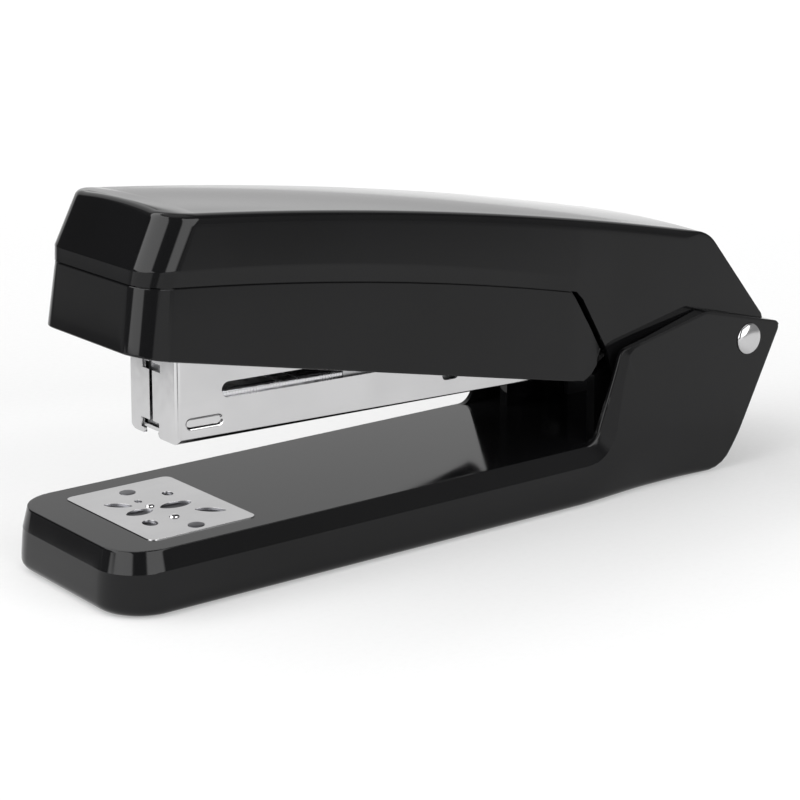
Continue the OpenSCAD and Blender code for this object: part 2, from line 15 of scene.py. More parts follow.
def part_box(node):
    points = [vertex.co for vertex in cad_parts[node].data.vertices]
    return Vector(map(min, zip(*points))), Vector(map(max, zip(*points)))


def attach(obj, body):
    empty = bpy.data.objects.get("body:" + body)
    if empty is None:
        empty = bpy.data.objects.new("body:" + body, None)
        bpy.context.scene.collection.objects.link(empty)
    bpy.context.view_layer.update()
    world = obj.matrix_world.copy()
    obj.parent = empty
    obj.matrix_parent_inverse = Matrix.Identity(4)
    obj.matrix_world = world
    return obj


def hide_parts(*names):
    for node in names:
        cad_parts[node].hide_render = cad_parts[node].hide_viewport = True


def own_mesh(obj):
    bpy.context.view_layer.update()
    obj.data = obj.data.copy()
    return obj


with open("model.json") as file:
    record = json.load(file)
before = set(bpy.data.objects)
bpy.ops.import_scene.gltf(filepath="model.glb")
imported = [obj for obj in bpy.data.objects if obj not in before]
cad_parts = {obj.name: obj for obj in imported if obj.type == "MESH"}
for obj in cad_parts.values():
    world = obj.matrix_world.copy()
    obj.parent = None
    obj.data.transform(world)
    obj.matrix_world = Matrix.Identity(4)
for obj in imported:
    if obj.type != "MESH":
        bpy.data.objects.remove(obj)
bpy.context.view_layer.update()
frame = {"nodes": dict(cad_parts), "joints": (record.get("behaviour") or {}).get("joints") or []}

MM = 0.001
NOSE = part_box("base_shell")[0].x
JOINTS = {joint["name"]: joint for joint in frame["joints"]}
PIN = Vector(JOINTS["magazine_hinge"]["pos_m"])
PIN_X = (PIN.x - NOSE) / MM
PIN_Z = PIN.z / MM
MAG_TILT = math.asin(-JOINTS["pusher_slide"]["axis"][2])
PIN_R = 2.0

# Where millimetres of the base and of the magazine lie at rest
BASE_FRAME = Matrix.Translation((NOSE, 0, 0)) @ Matrix.Scale(MM, 4)
MAGAZINE_FRAME = Matrix.Translation(PIN) @ Matrix.Rotation(MAG_TILT, 4, "Y") @ Matrix.Scale(MM, 4)

# Base: its side has a crease, with a band that leans in above it
BASE_TOP = 10.4
BASE_WIDEST_Z = 7.0
BASE_BOTTOM = 0.1
BASE_HALF_W = 18.6
BASE_CORNER_R = 7.7
BASE_FRONT = -0.15
BASE_FLAT_END = 90.4
BAND_W = 3.4
BAND_DEPTH = 0.8
COLUMN_GAP = 1.6
# Inner face of the cheeks, and how much wider the gap between them is in front of the pin
CHEEK_INNER_Y = 16.1
CHEEK_SLACK = 1.3
# Bends of the base in side view: (x, z, radius)
RISER_TOE = (91.3, BASE_TOP + 3.2, 3.2)
RISER_TOP = (100.5, 24.4, 2)
CHEEK_PEAK = (118.4, 27.1, 3)
CHEEK_TIP = (135.4, 24.65, 1.3)
HEEL = (120.9, 5.3, 5.2)
ANVIL_X = 7.8
ANVIL_LEN = 19.2
ANVIL_Y = -0.25
ANVIL_HALF_W = 13.5
ANVIL_TOP = 10.52
ANVIL_CORNER_R = 1.3
ANVIL_SEAT = BASE_TOP - 0.5

# Head: the cover and the housing below it
HEAD_CORNER_R = 5.6
TOP_EDGE = 1.6
FRONT_EDGE = 0.9
CROWN = 0.42
TAIL_R = 6.9
REAR_CORNER = (117.93, 36.98, 7.0)
SLOPE_END = (135.2, 26.9)

# Steps round a front corner, and spans between the two corners of the head
CORNER_STEPS = 18
HEAD_SPANS = 16


def top_z(x):
    """Height of the cover's top edge. The three below it are the belt, the parting line and the skirt."""
    return 61.0 - 0.0659 * x - 0.000653 * x * x


def belt_z(x):
    return 52.25 - 0.0316 * x - 0.001204 * x * x


def parting_z(x):
    return 50.2 - 0.0603 * x - 0.000902 * x * x


def skirt_z(x):
    return 40.5 - 0.209 * x


# Mesh helpers ------------------------

def lerp(a, b, t):
    return a + (b - a) * t


def smooth_step(lo, hi, x):
    t = min(1.0, max(0.0, (x - lo) / (hi - lo)))
    return t * t * (3 - 2 * t)


def arc(cx, cz, r, a0, a1, n):
    angles = [math.radians(lerp(a0, a1, i / n)) for i in range(n + 1)]
    return [(cx + r * math.cos(a), cz + r * math.sin(a)) for a in angles]


def bend(a, corner, b, n):
    """Points on a curve from a to b that rounds off the corner."""
    return [a.lerp(corner, i / n).lerp(corner.lerp(b, i / n), i / n) for i in range(n + 1)]


def new_object(name, verts, faces, place=BASE_FRAME):
    mesh = bpy.data.meshes.new(name)
    mesh.from_pydata([tuple(v) for v in verts], [], faces)
    obj = bpy.data.objects.new(name, mesh)
    bpy.context.scene.collection.objects.link(obj)
    mesh.transform(place)
    return obj


def tidy(obj, merge=1e-6, outward=True):
    bm = bmesh.new()
    bm.from_mesh(obj.data)
    bmesh.ops.remove_doubles(bm, verts=bm.verts, dist=merge)
    bmesh.ops.dissolve_degenerate(bm, edges=bm.edges, dist=merge)
    if outward:
        bmesh.ops.recalc_face_normals(bm, faces=bm.faces)
    bm.to_mesh(obj.data)
    bm.free()


def apply_modifiers(obj):
    graph = bpy.context.evaluated_depsgraph_get()
    mesh = bpy.data.meshes.new_from_object(obj.evaluated_get(graph))
    obj.modifiers.clear()
    obj.data = mesh
    return obj


def boolean(obj, tools, operation="DIFFERENCE"):
    """Cuts the tools out of obj, or joins them to it, and removes them."""
    for tool in tools:
        step = obj.modifiers.new("cut", "BOOLEAN")
        step.operation, step.solver, step.object = operation, "EXACT", tool
    apply_modifiers(obj)
    for tool in tools:
        bpy.data.objects.remove(tool)
    tidy(obj, merge=2e-7, outward=False)
    return obj


def shade(obj, angle=32, weighted=True):
    """Smooth shading, with an edge wherever faces meet at more than the angle."""
    mesh = obj.data
    mesh.polygons.foreach_set("use_smooth", [True] * len(mesh.polygons))
    mesh.set_sharp_from_angle(angle=math.radians(angle))
    if weighted:
        step = obj.modifiers.new("normals", "WEIGHTED_NORMAL")
        step.keep_sharp = True
    return obj


def soften(obj, width, angle):
    """Rounds every edge sharper than the angle by a small width, in millimetres."""
    step = obj.modifiers.new("edges", "BEVEL")
    step.width, step.segments = width * MM, 2
    step.limit_method, step.angle_limit = "ANGLE", math.radians(angle)
    step.use_clamp_overlap = True
    step.miter_outer = "MITER_ARC"
    return apply_modifiers(obj)


def extruded(name, verts, place):
    """A solid between two like outlines, whose points come one outline after the other."""
    n = len(verts) // 2
    faces = [list(range(n)), list(range(2 * n - 1, n - 1, -1))]
    faces += [(i, i + n, (i + 1) % n + n, (i + 1) % n) for i in range(n)]
    obj = new_object(name, verts, faces, place)
    tidy(obj)
    return obj


def prism(name, outline, y0, y1, place=BASE_FRAME):
    """An x-z outline extruded from y0 to y1."""
    return extruded(name, [(x, y, z) for y in (y0, y1) for x, z in outline], place)


def plate(name, outline, z0, z1, place=BASE_FRAME):
    """An x-y outline extruded from z0 to z1."""
    return extruded(name, [(x, y, z) for z in (z0, z1) for x, y in outline], place)


def bar(name, outline, x0, x1, place):
    """A y-z outline extruded from x0 to x1."""
    return extruded(name, [(x, y, z) for x in (x0, x1) for y, z in outline], place)


def rounded(x0, x1, y0, y1, r, n=6):
    """The outline of a rectangle with rounded corners."""
    corners = [(x1 - r, y1 - r, 0), (x0 + r, y1 - r, 90), (x0 + r, y0 + r, 180), (x1 - r, y0 + r, 270)]
    return [point for cx, cy, a in corners for point in arc(cx, cy, r, a, a + 90, n)]


def box(name, x0, x1, y0, y1, z0, z1, place):
    return plate(name, [(x0, y0), (x1, y0), (x1, y1), (x0, y1)], z0, z1, place)


def between_rings(rings, around):
    """Faces that join each ring of points to the next."""
    faces = []
    for k in range(rings - 1):
        for i in range(around):
            j = (i + 1) % around
            faces.append((k * around + i, k * around + j, (k + 1) * around + j, (k + 1) * around + i))
    return faces


def lathe(name, profile, centre, axis, place=BASE_FRAME, steps=48):
    """Turns (radius, height) points about the axis through centre."""
    turn = Vector((0, 0, 1)).rotation_difference(Vector(axis)).to_matrix()
    verts = []
    for r, h in profile:
        for i in range(steps):
            a = 2 * math.pi * i / steps
            verts.append(Vector(centre) + turn @ Vector((r * math.cos(a), r * math.sin(a), h)))
    obj = new_object(name, verts, between_rings(len(profile), steps), place)
    tidy(obj, merge=1e-7)
    return obj


def tube(name, path, radius, place, sides=12):
    """A round wire along the path."""
    points = [Vector(p) for p in path]
    verts = []
    last = None
    for i, point in enumerate(points):
        ahead = points[min(i + 1, len(points) - 1)] - points[max(i - 1, 0)]
        ahead.normalize()
        side = last - ahead * last.dot(ahead) if last else ahead.orthogonal()
        side.normalize()
        last = side
        up = ahead.cross(side)
        for j in range(sides):
            a = 2 * math.pi * j / sides
            verts.append(point + side * radius * math.cos(a) + up * radius * math.sin(a))
    faces = between_rings(len(points), sides)
    faces.append(list(range(sides - 1, -1, -1)))
    faces.append([(len(points) - 1) * sides + j for j in range(sides)])
    obj = new_object(name, verts, faces, place)
    tidy(obj, merge=1e-8)
    return obj


def join(name, parts):
    """Several objects made into one."""
    bm = bmesh.new()
    for part in parts:
        bm.from_mesh(part.data)
    mesh = bpy.data.meshes.new(name)
    bm.to_mesh(mesh)
    bm.free()
    for part in parts:
        bpy.data.objects.remove(part)
    obj = bpy.data.objects.new(name, mesh)
    bpy.context.scene.collection.objects.link(obj)
    return obj


def shell(name, levels, n_front, cap=True, bulge=0.0, tail=()):
    """A tub of levels, each a ring of points from the near rear, round the front, to the far rear.

    Points with the same place in their levels make a column. The cap joins the top of each column to its
    mirror across, and the middle of each joining line is raised by the bulge. The tail is the first and
    the last of the columns whose lowest points are joined across too.
    """
    count = len(levels[0])
    half = (count - n_front + 1) // 2
    verts = [v for level in levels for v in level]
    faces = []
    for k in range(len(levels) - 1):
        low, high = k * count, (k + 1) * count
        faces += [(low + j + 1, low + j, high + j, high + j + 1) for j in range(count - 1)]

    def across(level, j):
        """Vertex numbers from near to far over the top or the underside at column j."""
        near, far = level * count + j, level * count + count - 1 - j
        if j == half - 1:
            return list(range(near, far + 1))
        a, b = Vector(verts[near]), Vector(verts[far])
        line = [near]
        for i in range(1, n_front):
            t = i / n_front
            point = a.lerp(b, t)
            point.z += bulge * (1 - (2 * t - 1) ** 2)
            line.append(len(verts))
            verts.append(point)
        return line + [far]

    def strip(lines, flip):
        for one, two in zip(lines, lines[1:]):
            for i in range(n_front):
                quad = (one[i], one[i + 1], two[i + 1], two[i])
                faces.append(quad[::-1] if flip else quad)

    if cap:
        strip([across(len(levels) - 1, j) for j in range(half)], False)
    if tail:
        strip([across(0, j) for j in range(tail[0], tail[1] + 1)], True)
    obj = new_object(name, verts, faces)
    tidy(obj, merge=2e-6, outward=False)
    return obj


def corner_turns():
    """Turns round a front corner, from the side to the front, each with its direction outward."""
    for i in range(CORNER_STEPS + 1):
        a = math.radians(90 * (1 - i / CORNER_STEPS))
        yield a, Vector((-math.cos(a), -math.sin(a), 0))


def all_levels(near, n_front, crown=lambda z, share: 0.0):
    """The levels of a tub from its near side's columns. The crown lifts the columns across the front."""
    columns = list(near)
    for i in range(1, n_front):
        share = i / n_front
        columns.append([(x, lerp(y, -y, share), z + crown(z, share)) for x, y, z in near[-1]])
    columns += [[(x, -y, z) for x, y, z in column] for column in reversed(near)]
    return [list(level) for level in zip(*columns)]


# Materials ------------------------

class Surface:
    """A node material on one Principled shader, with short calls for what feeds it."""

    def __init__(self, name, color, metallic=0.0, roughness=0.3, **sockets):
        self.material = bpy.data.materials.new(name)
        self.material.use_nodes = True
        self.nodes = self.material.node_tree.nodes
        self.links = self.material.node_tree.links
        self.shader = self.nodes["Principled BSDF"]
        self.shader.inputs["Base Color"].default_value = (*color, 1)
        self.shader.inputs["Metallic"].default_value = metallic
        self.shader.inputs["Roughness"].default_value = roughness
        for socket, value in sockets.items():
            self.shader.inputs[socket.replace("_", " ")].default_value = value
        self.coords = self.nodes.new("ShaderNodeTexCoord").outputs["Object"]

    def stretch(self, scale):
        mapping = self.nodes.new("ShaderNodeMapping")
        mapping.inputs["Scale"].default_value = scale
        self.links.new(self.coords, mapping.inputs["Vector"])
        return mapping.outputs["Vector"]

    def noise(self, scale, detail, stretch=(1, 1, 1)):
        node = self.nodes.new("ShaderNodeTexNoise")
        node.inputs["Scale"].default_value = scale
        node.inputs["Detail"].default_value = detail
        self.links.new(self.stretch(stretch), node.inputs["Vector"])
        return node.outputs["Fac"]

    def ramp(self, value, lo, hi):
        """Spreads the middle of a noise's range from lo to hi."""
        node = self.nodes.new("ShaderNodeMapRange")
        node.inputs["From Min"].default_value, node.inputs["From Max"].default_value = 0.3, 0.7
        node.inputs["To Min"].default_value, node.inputs["To Max"].default_value = lo, hi
        self.links.new(value, node.inputs["Value"])
        return node.outputs["Result"]

    def color(self, value, one, two):
        node = self.nodes.new("ShaderNodeMix")
        node.data_type = "RGBA"
        node.inputs["A"].default_value, node.inputs["B"].default_value = (*one, 1), (*two, 1)
        self.links.new(value, node.inputs["Factor"])
        self.links.new(node.outputs["Result"], self.shader.inputs["Base Color"])

    def rough(self, value):
        self.links.new(value, self.shader.inputs["Roughness"])

    def bump(self, value, strength, distance, under=None):
        node = self.nodes.new("ShaderNodeBump")
        node.inputs["Strength"].default_value = strength
        node.inputs["Distance"].default_value = distance
        self.links.new(value, node.inputs["Height"])
        if under:
            self.links.new(under, node.inputs["Normal"])
        self.links.new(node.outputs["Normal"], self.shader.inputs["Normal"])
        return node.outputs["Normal"]

    def on(self, obj):
        obj.data.materials.clear()
        obj.data.materials.append(self.material)


def gloss_black(name):
    """Polished ABS: near black, a very slight mould ripple and faint fine rubbing."""
    s = Surface(name, (0.004, 0.004, 0.0042), roughness=0.07, IOR=1.32)
    s.color(s.ramp(s.noise(35, 4), 0, 1), (0.0034, 0.0034, 0.0036), (0.0046, 0.0046, 0.005))
    s.rough(s.ramp(s.noise(60, 5), 0.045, 0.10))
    ripple = s.bump(s.noise(120, 2), 0.12, 0.00002)
    s.bump(s.noise(2600, 2, (1, 0.15, 0.15)), 0.03, 0.000004, under=ripple)
    return s


def matt_black(name):
    """Rubber with a dusty grain."""
    s = Surface(name, (0.02, 0.02, 0.02), roughness=0.75, IOR=1.5)
    s.color(s.ramp(s.noise(120, 5), 0, 1), (0.016, 0.016, 0.016), (0.03, 0.03, 0.029))
    s.rough(s.ramp(s.noise(300, 3), 0.62, 0.85))
    s.bump(s.noise(1800, 4), 0.5, 0.00005)
    return s


def bright_nickel(name, tone=0.6):
    """Nickel plate on rolled steel: faint drawing lines along the sheet."""
    s = Surface(name, (tone, tone, tone), metallic=1.0, roughness=0.15)
    s.color(s.ramp(s.noise(90, 5), 0, 1), (0.96 * tone, 0.955 * tone, 0.965 * tone),
            (1.05 * tone, 1.045 * tone, 1.055 * tone))
    s.rough(s.ramp(s.noise(500, 4, (0.08, 1, 1)), 0.10, 0.19))
    s.bump(s.noise(3000, 3, (0.05, 1, 1)), 0.12, 0.000006)
    return s


def rolled_steel(name, color=(0.5, 0.5, 0.51), stretch=(0.05, 1, 1), rough=(0.25, 0.42)):
    """Bare steel, with a grain along the axis that the stretch is small in."""
    s = Surface(name, color, metallic=1.0, roughness=0.3)
    s.color(s.ramp(s.noise(70, 5), 0, 1), tuple(0.86 * c for c in color), tuple(1.08 * c for c in color))
    s.rough(s.ramp(s.noise(600, 4, stretch), *rough))
    s.bump(s.noise(2400, 3, stretch), 0.25, 0.00001)
    return s


def spring_wire(name):
    """Drawn wire, finely mottled."""
    s = Surface(name, (0.4, 0.4, 0.42), metallic=1.0, roughness=0.3)
    s.color(s.ramp(s.noise(400, 3), 0, 1), (0.33, 0.33, 0.35), (0.46, 0.46, 0.48))
    s.rough(s.ramp(s.noise(900, 3), 0.22, 0.38))
    s.bump(s.noise(5000, 2), 0.15, 0.000005)
    return s


def zinc_plate(name):
    """Zinc plate: patches of slightly different sheen."""
    s = Surface(name, (0.64, 0.64, 0.67), metallic=1.0, roughness=0.3)
    s.color(s.ramp(s.noise(500, 2), 0, 1), (0.58, 0.58, 0.62), (0.70, 0.70, 0.71))
    s.rough(s.ramp(s.noise(800, 3), 0.22, 0.36))
    s.bump(s.noise(2500, 3), 0.2, 0.00001)
    return s


BLACK = gloss_black("black_abs")
RUBBER = matt_black("sole_rubber")
NICKEL = bright_nickel("nickel_plate", 0.57)
ANVIL_NICKEL = bright_nickel("anvil_nickel", 0.62)
STEEL = rolled_steel("rolled_steel")
BLACK_STEEL = rolled_steel("blackened_steel", (0.035, 0.035, 0.038), (0.1, 1, 1), (0.35, 0.5))
# Dark dull steel of the rivets, also put into the anvil's dips as painted shade
DARK_STEEL_AND_DIP_SHADE = rolled_steel("dull_steel_and_dip_shade", (0.14, 0.14, 0.15), (1, 1, 1), (0.35, 0.5))
SPRING = spring_wire("spring_wire")
ZINC = zinc_plate("zinc_plate")
STAPLE = rolled_steel("staple_wire", (0.7, 0.7, 0.72), (1, 0.1, 1), (0.18, 0.3))


def finish_piece(obj, surface, slot, body, *nodes):
    """Gives a piece its material, lets it ride on its body and stand for the CAD nodes. The slot is not
    used.
    """
    surface.on(obj)
    obj.name = obj.data.name = nodes[0] + "_skin"
    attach(obj, body)
    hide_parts(*nodes)
    return obj


# Base ------------------------

def spaced(path, gap):
    """The path with points added wherever two lie more than the gap apart."""
    out = [path[0]]
    for (ax, az), (bx, bz) in zip(path, path[1:]):
        n = max(1, math.ceil(math.hypot(bx - ax, bz - az) / gap - 1e-6))
        out += [(lerp(ax, bx, i / n), lerp(az, bz, i / n)) for i in range(1, n + 1)]
    return out


def along(path, shares):
    """Points at the given shares of the path's length."""
    steps = [math.hypot(b[0] - a[0], b[1] - a[1]) for a, b in zip(path, path[1:])]
    total, points = sum(steps), []
    for share in shares:
        left, i = share * total, 0
        while i < len(steps) - 1 and left > steps[i]:
            left -= steps[i]
            i += 1
        points.append(tuple(lerp(p, q, min(1.0, left / steps[i])) for p, q in zip(path[i], path[i + 1])))
    return points


def inward_normals(path, left):
    """Unit vectors into the body at each point of a side view path."""
    normals = []
    for i in range(len(path)):
        a, b = path[max(i - 1, 0)], path[min(i + 1, len(path) - 1)]
        run = Vector((b[0] - a[0], b[1] - a[1])).normalized()
        normals.append(Vector((-run.y, run.x)) if left else Vector((run.y, -run.x)))
    return normals


def side_in(z, x):
    """How far the base's side leans in below the crease: a little outward in front, inward at the riser."""
    t = max(0.0, (BASE_WIDEST_Z - z) / (BASE_WIDEST_Z - BASE_BOTTOM))
    front, riser = -0.45 * min(1.0, 1.4 * t), 0.9 * t ** 1.5
    return lerp(front, riser, smooth_step(88, 108, x))


def base_columns():
    """Rows of (x, inset, z) for each column along the side, from the rear corner to the front."""
    top = [(BASE_FLAT_END, BASE_TOP)] + arc(*RISER_TOE, -90, -16, 8) + arc(*RISER_TOP, 165, 102, 5)
    top += arc(*CHEEK_PEAK, 102, 77, 3) + arc(*CHEEK_TIP, 77, 20, 4)
    bottom = [(BASE_FLAT_END, BASE_BOTTOM)] + arc(*HEEL, -90, -28, 8) + arc(*CHEEK_TIP, -28, 20, 3)
    top = spaced(top, COLUMN_GAP)
    steps = [0.0]
    for a, b in zip(top, top[1:]):
        steps.append(steps[-1] + math.hypot(b[0] - a[0], b[1] - a[1]))
    bottom = along(spaced(bottom, COLUMN_GAP), [step / steps[-1] for step in steps])
    top_in, bottom_in = inward_normals(top, False), inward_normals(bottom, True)
    top_in[0], bottom_in[0] = Vector((0, -1)), Vector((0, 1))
    foot_turns = [math.radians(d) for d in (0, 18, 36, 54, 72, 90)]
    edge_turns = [math.radians(d) for d in (15, 35, 55, 75, 90)]
    columns = []
    for (tx, tz), (bx, bz), tn, bn in zip(top, bottom, top_in, bottom_in):
        # The band narrows up the riser and runs out on the cheek
        fade = (1 - 0.5 * smooth_step(12, 24, tz)) * (1 - smooth_step(98.3, 102.0, tx))
        depth = lerp(0.05, BAND_DEPTH, fade)
        band = lerp(0.45, BAND_W, fade)
        edge = 0.12 + 0.2 * smooth_step(90.5, 93, tx) * (1 - smooth_step(99.5, 103.5, tx))
        crease = (tx + tn.x * band, tz + tn.y * band)
        foot = lerp(1.8, 0.4, smooth_step(112, 130, bx))
        foot_in = side_in(bz, bx)
        rows = []
        for a in foot_turns:
            up = foot * (1 - math.cos(a))
            rows.append((bx + bn.x * up, foot_in + foot * (1 - math.sin(a)), bz + bn.y * up))
        start = (rows[-1][0], rows[-1][2])
        for share in (0.2, 0.4, 0.6, 0.8, 0.985, 1.0):
            x, z = lerp(start[0], crease[0], share), lerp(start[1], crease[1], share)
            rows.append((x, side_in(z, x) if share < 0.98 else 0.02 * (1 - share) / 0.015, z))
        for share in (0.04, 0.35, 0.7, 0.9):
            rows.append((lerp(crease[0], tx, share), depth * share, lerp(crease[1], tz, share)))
        for a in edge_turns:
            down = edge * (1 - math.sin(a))
            rows.append((tx + tn.x * down, depth * 0.97 + edge * (1 - math.cos(a)), tz + tn.y * down))
        rows.append((tx, depth + edge + 0.5, tz))
        columns.append(rows)
    return columns


def base_shell():
    riser = base_columns()
    profile = riser[0]
    columns = [[(x, -(BASE_HALF_W - inset), z) for x, inset, z in rows] for rows in reversed(riser)]
    for x in (86, 80, 72, 62, 50, 38, 28, 20, 14, 10):
        columns.append([(x, -(BASE_HALF_W - inset), z) for _, inset, z in profile])
    n_front = 14
    crease_row = 11

    def corner_r(k, inset, turn):
        """The corner's radius at row k. The front leans more than the sides, above and below the crease."""
        return BASE_CORNER_R - inset * (1 + (0.3 if k < crease_row else 0.2) * math.cos(turn) ** 2)

    reach = BASE_HALF_W - BASE_CORNER_R
    for a, _ in corner_turns():
        columns.append([(BASE_FRONT + BASE_CORNER_R - corner_r(k, inset, a) * math.cos(a),
                         -reach - corner_r(k, inset, a) * math.sin(a), z)
                        for k, (_, inset, z) in enumerate(profile)])
    tub = shell("base_shell", all_levels(columns, n_front), n_front, tail=(0, len(columns) - 1))

    wide = CHEEK_INNER_Y + CHEEK_SLACK
    gap = [(BASE_FLAT_END, CHEEK_INNER_Y), (97, wide), (105, wide)]
    gap += [(119, CHEEK_INNER_Y), (140, CHEEK_INNER_Y)]
    well = plate("well", gap + [(x, -y) for x, y in reversed(gap)], BASE_TOP, 40)
    room = 0.03
    seat = rounded(ANVIL_X - room, ANVIL_X + ANVIL_LEN + room, ANVIL_Y - ANVIL_HALF_W - room,
                   ANVIL_Y + ANVIL_HALF_W + room, ANVIL_CORNER_R)
    recess = plate("recess", seat, ANVIL_SEAT, BASE_TOP + 1)
    hollow = plate("hollow", rounded(3.6, 118.5, -15.4, 15.4, 5), -1, BASE_TOP - 2.2)
    sole_low, sole_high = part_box("sole_pad")
    sole = plate("sole", rounded((sole_low.x - NOSE) / MM - 0.25, (sole_high.x - NOSE) / MM + 0.25,
                                 sole_low.y / MM - 0.2, sole_high.y / MM + 0.2, 5.8), -1, 1.8)
    boolean(tub, [well, recess, hollow, sole])
    # A web inside each cheek carries the pin
    ear = [(119, 9), (97.5, 9), (97.5, 21), (103.5, 24.6)] + arc(PIN_X, PIN_Z, 4.3, 95, -130, 18)
    webs = [prism("web", ear, *sorted((side * 10.9, side * 12.9))) for side in (-1, 1)]
    boolean(tub, webs, "UNION")
    bore = [(0, -6), (PIN_R, -6), (PIN_R, 6), (0, 6)]
    boolean(tub, [lathe("bore", bore, (PIN_X, side * 14, PIN_Z), (0, side, 0)) for side in (-1, 1)])
    shade(tub, 28)
    return finish_piece(tub, BLACK, "black_plastic", "base", "base_shell")


def leaf_dip(x, y, turn, length, width, point):
    """A cutter for a steep-sided dip in the anvil, round where point is 1 and like a leaf above that."""
    around, rings, depth = 28, 6, 0.5
    verts = []
    for k in range(rings + 1):
        a = math.pi / 2 * k / rings
        size, down = (1.06, 0.3) if k == 0 else (math.cos(a) ** 0.45, -depth * math.sin(a) ** 0.8)
        for i in range(around):
            b = 2 * math.pi * i / around
            u, v = math.cos(b), math.sin(b)
            v *= abs(v) ** (point - 1) if point > 1 and v else 1
            verts.append(Vector((length / 2 * size * u, width / 2 * size * v, down)))
    faces = between_rings(rings + 1, around) + [list(range(around))]
    spin = Matrix.Rotation(math.radians(turn), 3, "Z")
    cutter = new_object("dip", [spin @ v + Vector((x, y, ANVIL_TOP)) for v in verts], faces)
    tidy(cutter, 1e-7)
    return cutter


def anvil_plate():
    outline = rounded(ANVIL_X, ANVIL_X + ANVIL_LEN, ANVIL_Y - ANVIL_HALF_W, ANVIL_Y + ANVIL_HALF_W,
                      ANVIL_CORNER_R, 5)
    obj = plate("anvil_plate", outline, ANVIL_SEAT, ANVIL_TOP)
    cx = ANVIL_X + ANVIL_LEN / 2 - 0.3
    # Dips: x and y from the middle, turn in degrees, length, width, pointedness
    dips = ((-3.6, -0.6, 0, 4.6, 2.9, 1.3), (2.9, -0.8, -2, 5.5, 3.0, 1.3), (-4.5, 4.5, 133, 4.6, 1.9, 1.3),
            (5.8, -6.5, 134, 5.0, 2.0, 1.3), (-5.0, -6.2, 0, 2.3, 3.0, 1), (4.9, 4.95, 0, 1.7, 2.2, 1),
            (-0.94, 4.3, 0, 1.1, 1.6, 1))
    boolean(obj, [leaf_dip(cx + x, y, *rest) for x, y, *rest in dips])
    # Raised nubs, as (share of the radius, height)
    dome = ((0, -0.3), (0.9, -0.3), (1, 0.0), (0.93, 0.16), (0.72, 0.28), (0.4, 0.34), (0, 0.35))
    nubs = [lathe("nub", [(share * r, h) for share, h in dome], (x, y, ANVIL_TOP), (0, 0, 1), steps=24)
            for x, y, r in ((cx - 0.3, -5.7, 0.85), (cx - 0.6, 1.2, 0.75))]
    boolean(obj, nubs, "UNION")
    soften(obj, 0.09, 25)
    shade(obj, 30)
    finish_piece(obj, ANVIL_NICKEL, "nickel", "base", "anvil_plate")
    # Painted shade: the faces in the dips get a dark dull steel, so that the dips look shaded
    obj.data.materials.append(DARK_STEEL_AND_DIP_SHADE.material)
    back = BASE_FRAME.inverted()
    for face in obj.data.polygons:
        at = back @ face.center
        if at.z < ANVIL_TOP - 0.05 and face.normal.z > -0.3 and abs(at.x - cx) < 8.7 and abs(at.y) < 12:
            face.material_index = 1
    return obj


def anvil_rivets():
    head = [(0, -5), (1.3, -5), (1.3, 0.02), (1.32, 0.05), (1.25, 0.08), (0.5, 0.1), (0, 0.1)]
    x = ANVIL_X + ANVIL_LEN / 2 - 0.2
    obj = join("anvil_rivets", [lathe("rivet", head, (x, side * 10.45 - 1.0, ANVIL_TOP), (0, 0, 1))
                                for side in (-1, 1)])
    shade(obj)
    return finish_piece(obj, DARK_STEEL_AND_DIP_SHADE, "dark_steel", "base", "anvil_rivets")


def pin_head(name, side):
    """The domed end of the hinge pin, with a turned rim."""
    head = [(PIN_R, -2.4), (PIN_R, 0), (2.8, 0), (2.84, 0.12), (2.78, 0.28), (2.5, 0.48), (2.1, 0.68),
            (1.5, 0.83), (0.8, 0.9), (0, 0.92)]
    return lathe(name, head, (PIN_X, side * BASE_HALF_W, PIN_Z), (0, side, 0), steps=64)


def hinge_pins():
    shaft = lathe("shaft", [(0, 0), (PIN_R, 0), (PIN_R, 34), (0, 34)], (PIN_X, -17, PIN_Z), (0, 1, 0))
    pin = join("hinge_pin", [pin_head("head", -1), shaft])
    cap = pin_head("hinge_pin_cap", 1)
    for obj, node in ((pin, "hinge_pin"), (cap, "hinge_pin_cap")):
        shade(obj, 40)
        finish_piece(obj, NICKEL, "nickel", "base", node)


# Magazine ------------------------

MAG_LEN = 112.0
MAG_HALF_W = 7.2
MAG_T = 0.6
MAG_BOTTOM = -4.3


def sunk_oval(x, z, length, height, depth, side):
    """A cutter for an oval dent in the magazine's side wall."""
    verts = []
    # How far each ring has grown to the full oval, and how deep it lies
    deepest = 0.35
    rows = [(0.0, deepest), (0.35, 0.12), (0.8, 0.0), (1.05, -0.3)]
    n = 8
    for grow, down in rows:
        r = height / 2 * (0.45 + 0.55 * grow)
        half = length / 2 - height / 2
        for end in (1, -1):
            for i in range(n + 1):
                a = math.radians(-90 + 180 * i / n)
                y = side * (MAG_HALF_W - down * depth / deepest)
                verts.append((x + end * (half + r * math.cos(a)), y, z + end * r * math.sin(a)))
    ring = 2 * (n + 1)
    faces = between_rings(len(rows), ring)
    faces += [list(range(ring)), [(len(rows) - 1) * ring + i for i in range(ring)]]
    obj = new_object("oval", verts, faces, MAGAZINE_FRAME)
    tidy(obj, 1e-8)
    return obj


def folds(bm):
    """The edges of the magazine's block along which the sheet is folded."""
    back = MAGAZINE_FRAME.inverted()
    near = 0.01
    found = []
    for edge in bm.edges:
        a, b = (back @ v.co for v in edge.verts)
        at_side = abs(abs(a.y) - MAG_HALF_W) < near and abs(a.y - b.y) < near
        front = abs(a.x + MAG_LEN) < near and abs(b.x + MAG_LEN) < near
        low = abs(a.z - MAG_BOTTOM) < near and abs(b.z - MAG_BOTTOM) < near
        if at_side and (front or low):
            found.append(edge)
    return found


